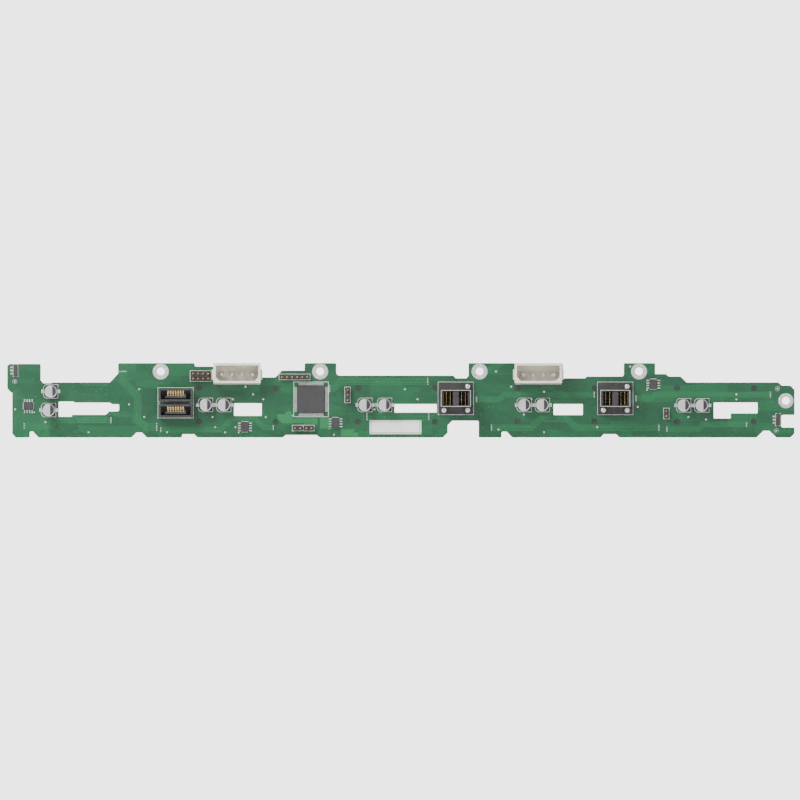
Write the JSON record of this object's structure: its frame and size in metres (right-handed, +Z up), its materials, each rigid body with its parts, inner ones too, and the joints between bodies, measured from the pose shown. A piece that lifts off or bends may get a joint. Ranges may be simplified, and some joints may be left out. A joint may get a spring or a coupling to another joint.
{
  "type": "drive backplane board",
  "caption": "Long narrow circuit board for a flat server: drive sockets on the back, power, data and cable sockets, headers, chips and can capacitors on the front, with screw holes.",
  "frame": {"origin": "middle of the line of four chassis screws, on the cable side's face", "axes": "+X along the board to the right as seen from the cable side, +Z up, -Y out of the cable side"},
  "size_m": [0.395, 0.0247, 0.0373],
  "materials": {
    "solder_mask": "green solder mask over glass laminate",
    "white_nylon": "natural moulded nylon",
    "black_plastic": "fine moulded texture",
    "chip_plastic": "moulded epoxy",
    "gold_plate": "gold plated",
    "tin_plate": "matte tin plated",
    "port_steel": "rolled stainless sheet",
    "can_aluminium": "drawn can with a satin top",
    "part_ceramic": "fired, with tinned ends",
    "lens_plastic": "clear moulded lens",
    "label_paper": "blank white label"
  },
  "bodies": {
    "root": {"address_jumper_left_base": "black_plastic", "address_jumper_left_pins": "gold_plate", "address_jumper_right_base": "black_plastic", "address_jumper_right_pins": "gold_plate", "blank_label": "label_paper", "cable_port_left_base": "black_plastic", "cable_port_left_contacts": "gold_plate", "cable_port_left_shell": "port_steel", "cable_port_right_base": "black_plastic", "cable_port_right_contacts": "gold_plate", "cable_port_right_shell": "port_steel", "capacitor_bases": "black_plastic", "capacitor_cans": "can_aluminium", "capacitor_leads": "tin_plate", "circuit_board": "solder_mask", "controller_body": "chip_plastic", "controller_leads": "tin_plate", "coupling_capacitors": "part_ceramic", "data_socket_lower_contacts": "gold_plate", "data_socket_lower_housing": "black_plastic", "data_socket_upper_contacts": "gold_plate", "data_socket_upper_housing": "black_plastic", "drive_contacts_far_left": "gold_plate", "drive_contacts_far_right": "gold_plate", "drive_contacts_left": "gold_plate", "drive_contacts_middle": "gold_plate", "drive_contacts_right": "gold_plate", "drive_socket_far_left_lower": "black_plastic", "drive_socket_far_left_upper": "black_plastic", "drive_socket_far_right_lower": "black_plastic", "drive_socket_far_right_upper": "black_plastic", "drive_socket_left_lower": "black_plastic", "drive_socket_left_upper": "black_plastic", "drive_socket_middle_lower": "black_plastic", "drive_socket_middle_upper": "black_plastic", "drive_socket_right_lower": "black_plastic", "drive_socket_right_upper": "black_plastic", "edge_sensor_leads": "tin_plate", "edge_sensor_left": "chip_plastic", "edge_sensor_right": "chip_plastic", "led_resistors": "part_ceramic", "memory_chip_far_left": "chip_plastic", "memory_chip_leads": "tin_plate", "memory_chip_left": "chip_plastic", "memory_chip_middle": "chip_plastic", "memory_chip_right": "chip_plastic", "mode_jumper_base": "black_plastic", "mode_jumper_pins": "gold_plate", "power_socket_left_housing": "white_nylon", "power_socket_left_pins": "gold_plate", "power_socket_right_housing": "white_nylon", "power_socket_right_pins": "gold_plate", "program_header_base": "black_plastic", "program_header_pins": "gold_plate", "reset_jumper_base": "black_plastic", "reset_jumper_pins": "gold_plate", "sideband_header_base": "black_plastic", "sideband_header_pins": "gold_plate", "status_leds": "lens_plastic"}
  },
  "joints": []
}
